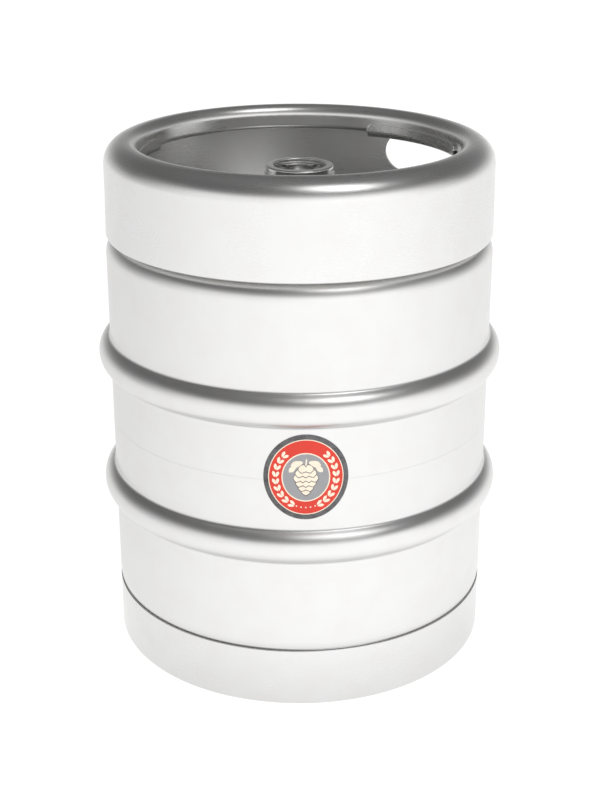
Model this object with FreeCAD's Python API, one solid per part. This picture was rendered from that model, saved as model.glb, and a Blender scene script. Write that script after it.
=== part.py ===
import FreeCAD, Part
import math, os
from FreeCAD import Vector as V

# ---------------------------------------------------------------------------
# Stainless steel beer keg, 50 litre class, with a well-type (bayonet) extractor.
# Millimetres. +Z up, origin at the centre of the foot, on the floor.
# -Y is the front (the side with the round label), +X is the right.
# ---------------------------------------------------------------------------

# overall
height = 532.0            # floor to crest of the top chime
body_r = 195.0            # outer radius of the cylindrical wall
shell_t = 1.5             # sheet of the two shell halves
chime_t = 2.0             # sheet of the two chimes

# pressed rolling hoops
hoop_h = 11.7             # how far a hoop stands out of the wall
hoop_crown_r = 18.5
hoop_fillet_r = 4.8
hoop_low_z = 177.2
hoop_high_z = 317.0
centre_z = 247.0          # butt joint of the two halves

# domed heads
top_seam_z = 438.0        # underside of the top chime's inward flange
chime_bend_r = 3.5        # outer bend radius of that flange
chime_flange_r = 183.0    # inner edge of that flange, on the shoulder
low_seam_z = 62.4         # upper edge of the bottom chime
top_knuckle_r = 19.0
shoulder_z = 420.0        # where the wall turns into the shoulder
low_knuckle_r = 24.0
top_crown_z = 465.0
low_crown_z = 14.5
sump_z = 8.5              # underside of the small sump in the bottom head
sump_r = 21.0

# top chime
top_chime_r_low = 194.6   # outer radius at its lower edge
top_chime_r_high = 193.8  # outer radius where the roll starts
rim_outer_r = 22.0        # outer roll radius
rim_inner_r = 10.8         # inner roll radius
lip_r = 160.0             # inner face of the turned-down lip
lip_z = 507.0             # lowest point of the lip
hem_r = 5.0               # outward curl at the lip's edge

# hand holes, angles measured from +Y towards +X
hole_angles = (53.5, -81.0)
hole_widths = (157.0, 126.0)
hole_h = 40.0
hole_z = 482.0
grip_half_degs = (26.2, 16.6)
grip_t = 2.0
grip_top_z = 516.5
grip_low_z = 501.6
grip_bend_r = 8.0

# bottom chime
foot_round_r = 7.0
foot_flat_in = 176.0
foot_curl_r = 6.0
foot_curl_top = 17.0

# neck
neck_top_z = 504.0
neck_r = 34.0
neck_flange_r = 35.3
neck_bore_r = 26.5
neck_ledge_z = 486.0
neck_low_bore_r = 22.6
neck_bottom_z = 470.0
collar_r = 36.6           # outer radius of the pulled collar of the top head
collar_z = 483.0
collar_fillet = 13.0
groove_z0 = 499.6
groove_z1 = 501.4
groove_r = 28.3

# extractor
flange_z0, flange_z1 = 488.0, 491.0
flange_r = 26.2
seat_r = 15.5
upstand_r = 24.6
upstand_z = 499.5
lug_z0 = 496.0
lug_r = 21.2
cage_r = 22.0
cage_ri = 20.8
cage_z = 441.0
cup_r = 13.5
cup_ri = 12.5
cup_floor_z = 460.0
cup_top_z = 486.0
cup_flange_r = 17.8
tube_r = 8.0
tube_ri = 7.2
tube_end_z = 23.0
seal_ri = 8.5
ball_r = 10.0
ball_gap = 0.3
gas_travel = 8.0
ball_travel = 4.5
spring_mean_r = 16.0
spring_wire_r = 1.1

# label
label_half_w = 40.0
label_half_h = 43.5
label_z = 250.4
label_x = 6.0
label_t = 0.2

OUT = "parts"
os.makedirs(OUT, exist_ok=True)
made = []


# ---------------------------------------------------------------- helpers
def P(r, z):
    return V(r, 0, z)


class Path:
    """A tangent chain of lines and arcs in the (r, z) half plane."""

    def __init__(self, r, z):
        self.p = (r, z)
        self.seg = []

    def line(self, r, z):
        if math.hypot(r - self.p[0], z - self.p[1]) > 1e-7:
            self.seg.append(("L", self.p, (r, z)))
            self.p = (r, z)
        return self

    def arc(self, c, rad, a0, a1):
        e = (c[0] + rad * math.cos(math.radians(a1)), c[1] + rad * math.sin(math.radians(a1)))
        self.seg.append(("A", c, rad, a0, a1))
        self.p = e
        return self

    def offset(self, t, side):
        """side +1: to the left of the way along the path, -1: to the right"""
        q = []
        for s in self.seg:
            if s[0] == "L":
                (r0, z0), (r1, z1) = s[1], s[2]
                d = math.hypot(r1 - r0, z1 - z0)
                nr, nz = -(z1 - z0) / d * side, (r1 - r0) / d * side
                q.append(("L", (r0 + nr * t, z0 + nz * t), (r1 + nr * t, z1 + nz * t)))
            else:
                _, c, rad, a0, a1 = s
                ccw = a1 > a0
                q.append(("A", c, rad - t * side if ccw else rad + t * side, a0, a1))
        return q


def seg_edges(segs):
    out = []
    for s in segs:
        if s[0] == "L":
            out.append(Part.LineSegment(P(*s[1]), P(*s[2])).toShape())
        else:
            _, c, rad, a0, a1 = s
            pt = [P(c[0] + rad * math.cos(math.radians(a)), c[1] + rad * math.sin(math.radians(a)))
                  for a in (a0, (a0 + a1) / 2, a1)]
            out.append(Part.Arc(*pt).toShape())
    return out


def ends(segs):
    def pt(s, last):
        if s[0] == "L":
            return s[2] if last else s[1]
        _, c, rad, a0, a1 = s
        a = math.radians(a1 if last else a0)
        return (c[0] + rad * math.cos(a), c[1] + rad * math.sin(a))
    return pt(segs[0], False), pt(segs[-1], True)


def sheet_face(path, t, side):
    """closed face between a path and its offset"""
    outer, inner = path.seg, path.offset(t, side)
    (o0, o1), (i0, i1) = ends(outer), ends(inner)
    edges = seg_edges(outer) + seg_edges(inner)
    edges += [Part.LineSegment(P(*o0), P(*i0)).toShape(), Part.LineSegment(P(*o1), P(*i1)).toShape()]
    wire = Part.Wire(Part.__sortEdges__(edges))
    return Part.Face(wire)


def poly_face(pts):
    w = Part.makePolygon([P(*p) for p in pts] + [P(*pts[0])])
    return Part.Face(w)


def path_face(path):
    """closed face of a path that comes back to its start with a line"""
    e = seg_edges(path.seg)
    s, f = ends(path.seg)
    if math.hypot(s[0] - f[0], s[1] - f[1]) > 1e-7:
        e.append(Part.LineSegment(P(*f), P(*s)).toShape())
    return Part.Face(Part.Wire(Part.__sortEdges__(e)))


def revolve(face, deg=360.0, start=0.0):
    s = face.revolve(V(0, 0, 0), V(0, 0, 1), deg)
    if start:
        s.rotate(V(0, 0, 0), V(0, 0, 1), start)
    return s


def solid(shape):
    s = shape
    if s.ShapeType == "Compound" and len(s.Solids) == 1:
        s = s.Solids[0]
    return s


def save(name, shape):
    shape = solid(shape)
    for s in shape.Solids:
        if s.Volume < 0:
            s.reverse()
    bad = [not s.isValid() for s in shape.Solids]
    shape.exportStep(os.path.join(OUT, name + ".step"))
    made.append(name)
    print("%-20s solids %d valid %s volume %.1f mm3" % (name, len(shape.Solids), not any(bad), shape.Volume))


def theta(angle_from_y):
    """angle about +Z from +X of a direction given from +Y towards +X"""
    return 90.0 - angle_from_y


# ---------------------------------------------------------------- hoops
hoop_c = body_r + hoop_h - hoop_crown_r
_dr = (body_r + hoop_fillet_r) - hoop_c
_dz = math.sqrt((hoop_crown_r + hoop_fillet_r) ** 2 - _dr ** 2)
hoop_a = math.degrees(math.atan2(_dz, _dr))
hoop_half = _dz


def hoop_up(path, zc):
    path.line(body_r, zc - hoop_half)
    path.arc((body_r + hoop_fillet_r, zc - hoop_half), hoop_fillet_r, 180, 180 - hoop_a)
    path.arc((hoop_c, zc), hoop_crown_r, -hoop_a, hoop_a)
    path.arc((body_r + hoop_fillet_r, zc + hoop_half), hoop_fillet_r, 180 + hoop_a, 180)
    return path


def hoop_down(path, zc):
    path.line(body_r, zc + hoop_half)
    path.arc((body_r + hoop_fillet_r, zc + hoop_half), hoop_fillet_r, 180, 180 + hoop_a)
    path.arc((hoop_c, zc), hoop_crown_r, hoop_a, -hoop_a)
    path.arc((body_r + hoop_fillet_r, zc - hoop_half), hoop_fillet_r, 180 - hoop_a, 180)
    return path


# ---------------------------------------------------------------- upper shell
# where the shoulder passes under the lower edge of the top chime
top_chime_ri = top_chime_r_low - chime_t
_k = top_knuckle_r
top_start_z = shoulder_z
h = top_crown_z - top_start_z
kc = body_r - _k
crown_R = (kc ** 2 + h ** 2 - _k ** 2) / (2 * (h - _k))
crown_c = top_crown_z - crown_R
k_ang = math.degrees(math.atan2(top_start_z - crown_c, kc))

fc_r = collar_r + collar_fillet
fc_z = crown_c + math.sqrt((crown_R + collar_fillet) ** 2 - fc_r ** 2)
f_ang = math.degrees(math.atan2(fc_z - crown_c, fc_r))

up = Path(body_r, centre_z)
hoop_up(up, hoop_high_z)
up.line(body_r, top_start_z)
up.arc((kc, top_start_z), _k, 0, k_ang)
up.arc((0, crown_c), crown_R, k_ang, f_ang)
up.arc((fc_r, fc_z), collar_fillet, f_ang - 180, -180)
up.line(collar_r, collar_z)
upper_shell = revolve(sheet_face(up, shell_t, +1))
save("upper_shell", upper_shell)

# ---------------------------------------------------------------- lower shell
low_chime_ri = body_r - chime_t
_k = low_knuckle_r
low_start_z = low_seam_z + math.sqrt(_k ** 2 - (_k - (body_r - low_chime_ri)) ** 2)
h = low_start_z - low_crown_z
kc2 = body_r - _k
low_R = (kc2 ** 2 + h ** 2 - _k ** 2) / (2 * (h - _k))
low_c = low_crown_z + low_R
k2 = math.degrees(math.atan2(low_start_z - low_c, kc2))

# sump: a small flat-bottomed dimple
sf = 6.0                                     # fillet radius head to sump
sr = 5.0                                     # fillet radius sump to its flat
sf_r = sump_r + sf
sf_z = low_c - math.sqrt((low_R + sf) ** 2 - sf_r ** 2)
g = math.degrees(math.atan2(sf_z - low_c, sf_r))       # direction from head centre to fillet centre
# the two fillets meet tangentially on the line between their centres
dzc = sf_z - (sump_z + sr)
need = sf + sr
sc_r = sf_r - math.sqrt(max(need ** 2 - dzc ** 2, 0.0))
m = math.degrees(math.atan2((sump_z + sr) - sf_z, sc_r - sf_r))

lo = Path(body_r, centre_z)
hoop_down(lo, hoop_low_z)
lo.line(body_r, low_start_z)
lo.arc((kc2, low_start_z), _k, 0, k2)
lo.arc((0, low_c), low_R, k2, g)
m_in = m + 360 if m < 0 else m
lo.arc((sf_r, sf_z), sf, g + 180, m_in)
lo.arc((sc_r, sump_z + sr), sr, m_in - 180, -90)
lo.line(0.0, sump_z)
fl = seg_edges(lo.seg)
inner = lo.offset(shell_t, -1)
(o0, o1), (i0, i1) = ends(lo.seg), ends(inner)
edges = fl + seg_edges(inner) + [Part.LineSegment(P(*o0), P(*i0)).toShape(), Part.LineSegment(P(*o1), P(*i1)).toShape()]
lower_shell = revolve(Part.Face(Part.Wire(Part.__sortEdges__(edges))))
save("lower_shell", lower_shell)

# ---------------------------------------------------------------- root bead of the butt weld, inside
cw = Path(body_r - shell_t, centre_z - 2.6)
cw.line(body_r - shell_t, centre_z + 2.6)
cwr = (2.6 ** 2 + 0.7 ** 2) / (2 * 0.7)
ca = math.degrees(math.asin(2.6 / cwr))
cw.arc((body_r - shell_t - 0.7 + cwr, centre_z), cwr, 180 - ca, 180 + ca)
save("centre_weld", revolve(path_face(cw)))

# ---------------------------------------------------------------- top chime
wall_top = height - rim_outer_r
crest_r0 = top_chime_r_high - rim_outer_r
crest_r1 = lip_r + rim_inner_r
lean = math.degrees(math.atan2(top_chime_r_low - top_chime_r_high, wall_top - top_seam_z))
# the leaning wall is tangent to the roll at this angle above horizontal
tx = crest_r0 + rim_outer_r * math.cos(math.radians(lean))
tz = wall_top + rim_outer_r * math.sin(math.radians(lean))
slope = math.tan(math.radians(lean))
# inward flange at the foot of the skirt, its bend tangent to the leaning wall
bend_z = top_seam_z + chime_bend_r
bend_c = tx + (tz - (bend_z + chime_bend_r * math.sin(math.radians(lean)))) * slope - chime_bend_r * math.cos(math.radians(lean))
tc = Path(chime_flange_r, top_seam_z)
tc.line(bend_c, top_seam_z)
tc.arc((bend_c, bend_z), chime_bend_r, -90, lean)
tc.line(tx, tz)
tc.arc((crest_r0, wall_top), rim_outer_r, lean, 90)
tc.line(crest_r1, height)
tc.arc((crest_r1, height - rim_inner_r), rim_inner_r, 90, 180)
tc.line(lip_r, lip_z + hem_r)
tc.arc((lip_r + hem_r, lip_z + hem_r), hem_r, 180, 270)
chime = revolve(sheet_face(tc, chime_t, +1))


def obround(angle, w, hh, zc, r0, r1):
    """an obround bar lying along the radius at that angle"""
    k = hh / 2.0
    s = w / 2.0 - k
    a, b, c, d = V(0, -s, k), V(0, s, k), V(0, s, -k), V(0, -s, -k)
    e = [Part.LineSegment(a, b).toShape(), Part.Arc(b, V(0, s + k, 0), c).toShape(),
         Part.LineSegment(c, d).toShape(), Part.Arc(d, V(0, -s - k, 0), a).toShape()]
    f = Part.Face(Part.Wire(e))
    f.translate(V(r0, 0, zc))
    bar = f.extrude(V(r1 - r0, 0, 0))
    bar.rotate(V(0, 0, 0), V(0, 0, 1), theta(angle))
    return bar


for a, hw in zip(hole_angles, hole_widths):
    chime = chime.cut(obround(a, hw, hole_h, hole_z, 165.0, 225.0))
save("upper_chime", chime)

# ---------------------------------------------------------------- hand grips
# a folded strip that wraps the lip above each hand hole
wall_in = tx + (tz - (grip_low_z + grip_t)) * slope - chime_t / math.cos(math.radians(lean)) - 0.1
for name, a, grip_half in zip(("hand_grip_right", "hand_grip_left"), hole_angles, grip_half_degs):
    gp = Path(lip_r - grip_t, grip_top_z)
    gp.line(lip_r - grip_t, grip_low_z + grip_bend_r)
    gp.arc((lip_r - grip_t + grip_bend_r, grip_low_z + grip_bend_r), grip_bend_r, 180, 270)
    gp.line(wall_in, grip_low_z)
    g_ = revolve(sheet_face(gp, grip_t, +1), 2 * grip_half, theta(a) - grip_half)
    # round the two upper corners of the inner leg
    corner = []
    for e in g_.Edges:
        vs = e.Vertexes
        if len(vs) == 2 and all(abs(v.Z - grip_top_z) < 1e-4 for v in vs) and e.Length < grip_t + 0.01:
            corner.append(e)
    try:
        g2 = g_.makeFillet(5.0, corner)
        if g2.isValid() and g2.Volume > 0:
            g_ = g2
    except Exception as err:
        print("grip corner left square", err)
    save(name, g_)

# ---------------------------------------------------------------- bottom chime
bc = Path(body_r, low_seam_z)
bc.line(body_r, foot_round_r)
bc.arc((body_r - foot_round_r, foot_round_r), foot_round_r, 0, -90)
bc.line(foot_flat_in, 0)
bc.arc((foot_flat_in, foot_curl_r), foot_curl_r, -90, -180)
bc.line(foot_flat_in - foot_curl_r, foot_curl_top)
save("lower_chime", revolve(sheet_face(bc, chime_t, -1)))

# ---------------------------------------------------------------- chime welds (inside, out of sight from outside)
# upper: between the flange's inner edge and the shoulder
kr = top_knuckle_r


def shoulder(r):
    if r > kc + kr * math.cos(math.radians(k_ang)):
        return top_start_z + math.sqrt(kr ** 2 - (r - kc) ** 2)
    return crown_c + math.sqrt(crown_R ** 2 - r ** 2)


# follows the shoulder 0.02 mm off its surface
wr = chime_flange_r - 0.02
pts = []
for i in range(9):
    r = wr - 0.8 * (8 - i)
    pts.append((r, shoulder(r) + 0.03))
save("upper_chime_weld", revolve(poly_face([(wr, top_seam_z + chime_t + 0.9)] + pts)))

kl = low_knuckle_r


def heel(r):
    return low_start_z - math.sqrt(kl ** 2 - (r - kc2) ** 2)


wi2 = body_r - chime_t
pts = []
for i in range(9):
    r = wi2 - 0.05 - i * 0.42
    pts.append((r, heel(r) - 0.02))
save("lower_chime_weld", revolve(poly_face([(wi2 - 0.02, low_seam_z - 4.4)] + pts)))

# ---------------------------------------------------------------- neck boss
nb = [(neck_low_bore_r, neck_bottom_z), (neck_low_bore_r, neck_ledge_z), (neck_bore_r, neck_ledge_z),
      (neck_bore_r, groove_z0), (groove_r, groove_z0), (groove_r, groove_z1), (neck_bore_r, groove_z1),
      (neck_bore_r, neck_top_z - 0.8), (neck_bore_r + 0.8, neck_top_z)]
np_ = Path(*nb[0])
for q in nb[1:]:
    np_.line(*q)
np_.line(neck_r - 1.8, neck_top_z)
np_.arc((neck_r - 1.8, neck_top_z - 1.8), 1.8, 90, 0)
np_.line(neck_r, 498.0)
np_.arc((neck_r + 0.65, 498.0), 0.65, 180, 270)
np_.line(neck_flange_r - 0.6, 497.35)
np_.arc((neck_flange_r - 0.6, 496.75), 0.6, 90, 0)
np_.line(neck_flange_r, 490.5)
np_.line(collar_r - shell_t - 0.05, 489.6)
np_.line(collar_r - shell_t - 0.05, neck_bottom_z + 1.0)
np_.line(collar_r - shell_t - 1.05, neck_bottom_z)
neck = revolve(path_face(np_))
save("neck_boss", neck)

nw_r = collar_r - shell_t - 0.03
save("neck_weld", revolve(poly_face([(nw_r, collar_z + 0.02), (collar_r - 0.1, collar_z + 0.02), (collar_r - 0.25, collar_z + 0.9),
                                     (collar_r - 0.7, collar_z + 1.6), (nw_r, collar_z + 2.1)])))

# ---------------------------------------------------------------- rubber seal under the extractor flange
save("neck_seal", revolve(poly_face([(neck_low_bore_r + 0.3, neck_ledge_z), (flange_r - 0.3, neck_ledge_z),
                                     (flange_r, neck_ledge_z + 0.4), (flange_r, flange_z0 - 0.4),
                                     (flange_r - 0.3, flange_z0), (neck_low_bore_r + 0.3, flange_z0)])))

# ---------------------------------------------------------------- extractor housing
hs = [(seat_r, flange_z0), (seat_r, flange_z1 - 0.8), (seat_r + 0.8, flange_z1), (upstand_r, flange_z1),
      (upstand_r, lug_z0), (lug_r, lug_z0), (lug_r, upstand_z - 0.6), (lug_r + 0.6, upstand_z), (flange_r, upstand_z), (flange_r, flange_z0),
      (cage_r, flange_z0), (cage_r, cage_z), (cage_ri, cage_z), (cage_ri, flange_z0)]
housing = revolve(poly_face(hs))
# bayonet: two entry gaps between the two lugs
for a0 in (0.0, 180.0):
    gap = poly_face([(lug_r - 1, lug_z0 - 0.001), (upstand_r, lug_z0 - 0.001), (upstand_r, upstand_z + 1), (lug_r - 1, upstand_z + 1)])
    housing = housing.cut(revolve(gap, 104.0, a0 - 52.0))
# three gas windows in the cage
for k in range(3):
    w = Part.makeBox(30.0, 19.0, 26.0, V(0, -9.5, 452.0))
    w = w.makeFillet(3.0, [e for e in w.Edges if abs(e.BoundBox.XLength - 30.0) < 1e-3])
    w.rotate(V(0, 0, 0), V(0, 0, 1), 30 + 120 * k)
    housing = housing.cut(w)
save("extractor_housing", housing)

# ---------------------------------------------------------------- retaining ring (split)
rr = poly_face([(upstand_r + 0.3, groove_z0 + 0.1), (groove_r - 0.25, groove_z0 + 0.1), (groove_r - 0.25, groove_z1 - 0.2), (upstand_r + 0.3, groove_z1 - 0.2)])
save("retaining_ring", revolve(rr, 346.0, 277.0))

# ---------------------------------------------------------------- spring retainer, pressed into the foot of the cage
sr_pts = [(tube_r + 0.35, cage_z - 0.6), (cage_ri - 0.05, cage_z - 0.6), (cage_ri - 0.05, cage_z + 4.0), (cage_ri - 1.25, cage_z + 4.0),
          (cage_ri - 1.25, cage_z + 0.6), (tube_r + 1.55, cage_z + 0.6), (tube_r + 1.55, cage_z + 6.0), (tube_r + 0.35, cage_z + 6.0)]
retainer = revolve(poly_face(sr_pts))
for k in range(4):
    hole = Part.makeCylinder(2.4, 6.0, V(14.6, 0, cage_z - 2.0), V(0, 0, 1))
    hole.rotate(V(0, 0, 0), V(0, 0, 1), 45 + 90 * k)
    retainer = retainer.cut(hole)
save("spring_retainer", retainer)

# ---------------------------------------------------------------- moving valve and spear
save("gas_valve_seal", revolve(poly_face([(seal_ri, cup_top_z), (cup_flange_r - 1.0, cup_top_z), (cup_flange_r - 1.0, flange_z0 - 0.3),
                                          (cup_flange_r - 2.0, flange_z0 - 0.05), (seat_r - 1.2, flange_z0 - 0.05),
                                          (seat_r - 1.8, flange_z0 - 0.6), (seal_ri + 1.4, flange_z0 - 0.6), (seal_ri, flange_z0 - 1.4)])))
cup = [(cup_ri, cup_top_z), (cup_ri, cup_floor_z + 1.0), (tube_r + 0.0, cup_floor_z + 1.0), (tube_r + 0.0, cup_floor_z), (cup_r, cup_floor_z),
       (cup_r, cup_top_z - 1.2), (cup_flange_r, cup_top_z - 1.2), (cup_flange_r, flange_z0 - 0.5), (cup_flange_r - 1.0, flange_z0 - 0.5),
       (cup_flange_r - 1.0, cup_top_z)]
save("valve_cup", revolve(poly_face(cup)))

dt = [(tube_ri, cup_floor_z + 1.0), (tube_r, cup_floor_z + 1.0), (tube_r, tube_end_z), (tube_ri, tube_end_z)]
tube = revolve(poly_face(dt))
# mitred tip with two side notches, so that it can't seal on the sump
for k in range(2):
    n = Part.makeCylinder(3.0, 30.0, V(-15.0, 0, tube_end_z), V(1, 0, 0))
    n.rotate(V(0, 0, 0), V(0, 0, 1), 90 * k)
    tube = tube.cut(n)
save("down_tube", tube)


def spring(mean_r, wire_r, z0, z1, turns):
    """round wire coil from z0 to z1 (outer faces of the wire), with flat cut ends"""
    per = 24
    hz = (z1 - z0) - 2 * wire_r
    n = int(turns * per)
    sections = []
    for i in range(n + 1):
        a = 2 * math.pi * i / per
        c = V(mean_r * math.cos(a), mean_r * math.sin(a), z0 + wire_r + hz * i / n)
        t = V(-2 * math.pi * mean_r * math.sin(a), 2 * math.pi * mean_r * math.cos(a), hz / turns)
        t.normalize()
        x = V(math.cos(a), math.sin(a), 0)
        y = t.cross(x)
        m = FreeCAD.Matrix(x.x, y.x, t.x, c.x, x.y, y.y, t.y, c.y, x.z, y.z, t.z, c.z, 0, 0, 0, 1)
        ring = Part.Circle(V(0, 0, 0), V(0, 0, 1), wire_r).toShape()
        ring.Placement = FreeCAD.Placement(m)
        sections.append(Part.Wire(ring))
    faces = []
    for k in range(0, n, per // 2):
        faces += Part.makeLoft(sections[k:k + per // 2 + 1], False, True).Faces
    faces += [Part.Face(sections[0]), Part.Face(sections[-1])]
    shell = Part.makeShell(faces)
    shell.sewShape()
    coil = Part.makeSolid(shell.Shells[0] if shell.ShapeType != "Shell" else shell)
    if coil.Volume < 0:
        coil.reverse()
    return coil


main_spring = spring(spring_mean_r, spring_wire_r, cage_z + 0.62, cup_top_z - 1.22, 6)
save("main_spring", main_spring)

ball_c = cup_top_z - math.sqrt(ball_r ** 2 - seal_ri ** 2) - ball_gap
ball = Part.makeSphere(ball_r, V(0, 0, ball_c))
save("beer_ball", ball)
# the small spring stands on the end of the tube and carries the ball
small_r, small_wire = 8.3, 0.55
top_z = ball_c - math.sqrt((ball_r + small_wire + 0.05) ** 2 - small_r ** 2)
ball_spring = spring(small_r, small_wire, cup_floor_z + 1.02, top_z + small_wire, 4)
save("ball_spring", ball_spring)

# ---------------------------------------------------------------- label
outer = Part.makeCylinder(body_r + label_t + 0.01, 2 * label_half_h + 10, V(0, 0, label_z - label_half_h - 5))
inner_c = Part.makeCylinder(body_r + 0.01, 2 * label_half_h + 10, V(0, 0, label_z - label_half_h - 5))
oval = Part.Face(Part.Wire(Part.Ellipse(V(0, 0, 0), label_half_h, label_half_w).toShape()))
oval.rotate(V(0, 0, 0), V(1, 0, 0), 90)
oval.rotate(V(0, 0, 0), V(0, 1, 0), 90)
oval.translate(V(label_x, -body_r - 30.0, label_z))
save("label", outer.cut(inner_c).common(oval.extrude(V(0, 60.0, 0))))

print("parts", len(made))
print("shoulder starts %.2f, crown radius %.1f, low start %.2f, low crown radius %.1f, ball centre %.3f" % (top_start_z, crown_R, low_start_z, low_R, ball_c))
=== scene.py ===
import bpy, bmesh, math
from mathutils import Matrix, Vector, noise


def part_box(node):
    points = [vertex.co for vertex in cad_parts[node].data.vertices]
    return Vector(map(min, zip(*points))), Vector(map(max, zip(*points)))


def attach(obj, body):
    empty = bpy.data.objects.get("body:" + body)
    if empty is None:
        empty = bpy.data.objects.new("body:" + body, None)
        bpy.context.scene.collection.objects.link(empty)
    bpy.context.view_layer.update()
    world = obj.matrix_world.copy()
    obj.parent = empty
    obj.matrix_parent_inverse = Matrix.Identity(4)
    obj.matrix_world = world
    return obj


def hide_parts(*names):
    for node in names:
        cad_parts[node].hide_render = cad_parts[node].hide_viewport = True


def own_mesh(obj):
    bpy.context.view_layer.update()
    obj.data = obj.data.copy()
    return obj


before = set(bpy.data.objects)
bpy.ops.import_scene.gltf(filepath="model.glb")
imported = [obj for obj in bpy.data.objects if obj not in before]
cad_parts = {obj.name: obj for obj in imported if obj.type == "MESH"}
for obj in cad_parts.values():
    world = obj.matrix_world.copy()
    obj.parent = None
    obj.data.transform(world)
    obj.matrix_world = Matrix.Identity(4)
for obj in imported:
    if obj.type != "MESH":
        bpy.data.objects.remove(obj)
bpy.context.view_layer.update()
MM = 0.001
COL = bpy.context.scene.collection

# ------------------------------------------------------------------ camera
cam_data = bpy.data.cameras.new("camera")
cam = bpy.data.objects.new("camera", cam_data)
COL.objects.link(cam)
cam_data.sensor_width = 36.0
cam_data.lens = 1514.0 / 800.0 * 36.0
cam.location = (0.0005, -1.488, 0.8382)
cam.rotation_euler = (math.radians(90.0 - 21.52), 0.0, 0.0)
cam_data.clip_start, cam_data.clip_end = 0.05, 100.0
bpy.context.scene.camera = cam

# ------------------------------------------------------------------ dimensions (mm), as in the CAD
H, BR, ST, CT = 532.0, 195.0, 1.5, 2.0
HOOP_H, HOOP_CR, HOOP_F = 11.7, 18.5, 4.8
HOOPS = (177.2, 317.0)
MID = 247.0
SEAM_T, SEAM_B = 438.0, 62.4
KT, KB = 19.0, 24.0
T_START, BEND_R, FLANGE_R = 420.0, 3.5, 183.0
CROWN_T, CROWN_B = 465.0, 14.5
SUMP_Z, SUMP_R = 8.5, 21.0
TR_LOW, TR_HIGH = 194.6, 193.8
RIM_O, RIM_I = 22.0, 10.8
LIP_R, LIP_Z, HEM = 160.0, 507.0, 5.0
HOLES = (53.5, -81.0)
HOLE_WS, HOLE_H, HOLE_Z = (157.0, 126.0), 40.0, 482.0
PATCH = (30, 25)             # half width in degrees of the reworked wall round each hole
GRIP_HALFS, GRIP_T, GRIP_TOP, GRIP_LOW, GRIP_BEND = (26.2, 16.6), 2.0, 516.5, 501.6, 8.0
FOOT_R, FOOT_IN, FOOT_C, FOOT_TOP = 7.0, 176.0, 6.0, 17.0
NECK_TOP, NECK_R, NECK_FL, NECK_BORE, LEDGE, LOWBORE, NECK_BOT = 504.0, 34.0, 35.3, 26.5, 486.0, 22.6, 470.0
COLLAR_R, COLLAR_Z, COLLAR_F = 36.6, 483.0, 13.0
LABEL = (6.0, 250.4, 40.0, 43.5)


# ------------------------------------------------------------------ materials
def mat_new(name):
    m = bpy.data.materials.new(name)
    m.use_nodes = True
    nt = m.node_tree
    nt.nodes.clear()
    out = nt.nodes.new("ShaderNodeOutputMaterial")
    b = nt.nodes.new("ShaderNodeBsdfPrincipled")
    nt.links.new(b.outputs[0], out.inputs[0])
    return m, nt, b


def nd(nt, kind, **kw):
    n = nt.nodes.new(kind)
    for k, v in kw.items():
        setattr(n, k, v)
    return n


def ramp(nt, fac, stops):
    r = nd(nt, "ShaderNodeValToRGB")
    el = r.color_ramp.elements
    while len(el) < len(stops):
        el.new(0.5)
    for e, (p, c) in zip(el, stops):
        e.position = p
        e.color = (c, c, c, 1.0) if isinstance(c, float) else (*c, 1.0)
    nt.links.new(fac, r.inputs[0])
    return r.outputs[0]


def maprange(nt, v, a, b, c, d):
    m = nd(nt, "ShaderNodeMapRange")
    m.inputs[1].default_value, m.inputs[2].default_value = a, b
    m.inputs[3].default_value, m.inputs[4].default_value = c, d
    nt.links.new(v, m.inputs[0])
    return m.outputs[0]


def math_(nt, op, a, b=None):
    m = nd(nt, "ShaderNodeMath", operation=op)
    for i, v in enumerate((a, b)):
        if v is None:
            continue
        if isinstance(v, (int, float)):
            m.inputs[i].default_value = v
        else:
            nt.links.new(v, m.inputs[i])
    return m.outputs[0]


def noise_tex(nt, vec, scale, detail=3.0, rough=0.55, mapping=None):
    n = nd(nt, "ShaderNodeTexNoise")
    n.inputs["Scale"].default_value = scale
    n.inputs["Detail"].default_value = detail
    n.inputs["Roughness"].default_value = rough
    if mapping is not None:
        mp = nd(nt, "ShaderNodeMapping")
        mp.inputs["Scale"].default_value = mapping
        nt.links.new(vec, mp.inputs[0])
        vec = mp.outputs[0]
    nt.links.new(vec, n.inputs["Vector"])
    return n.outputs["Fac"]


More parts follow.
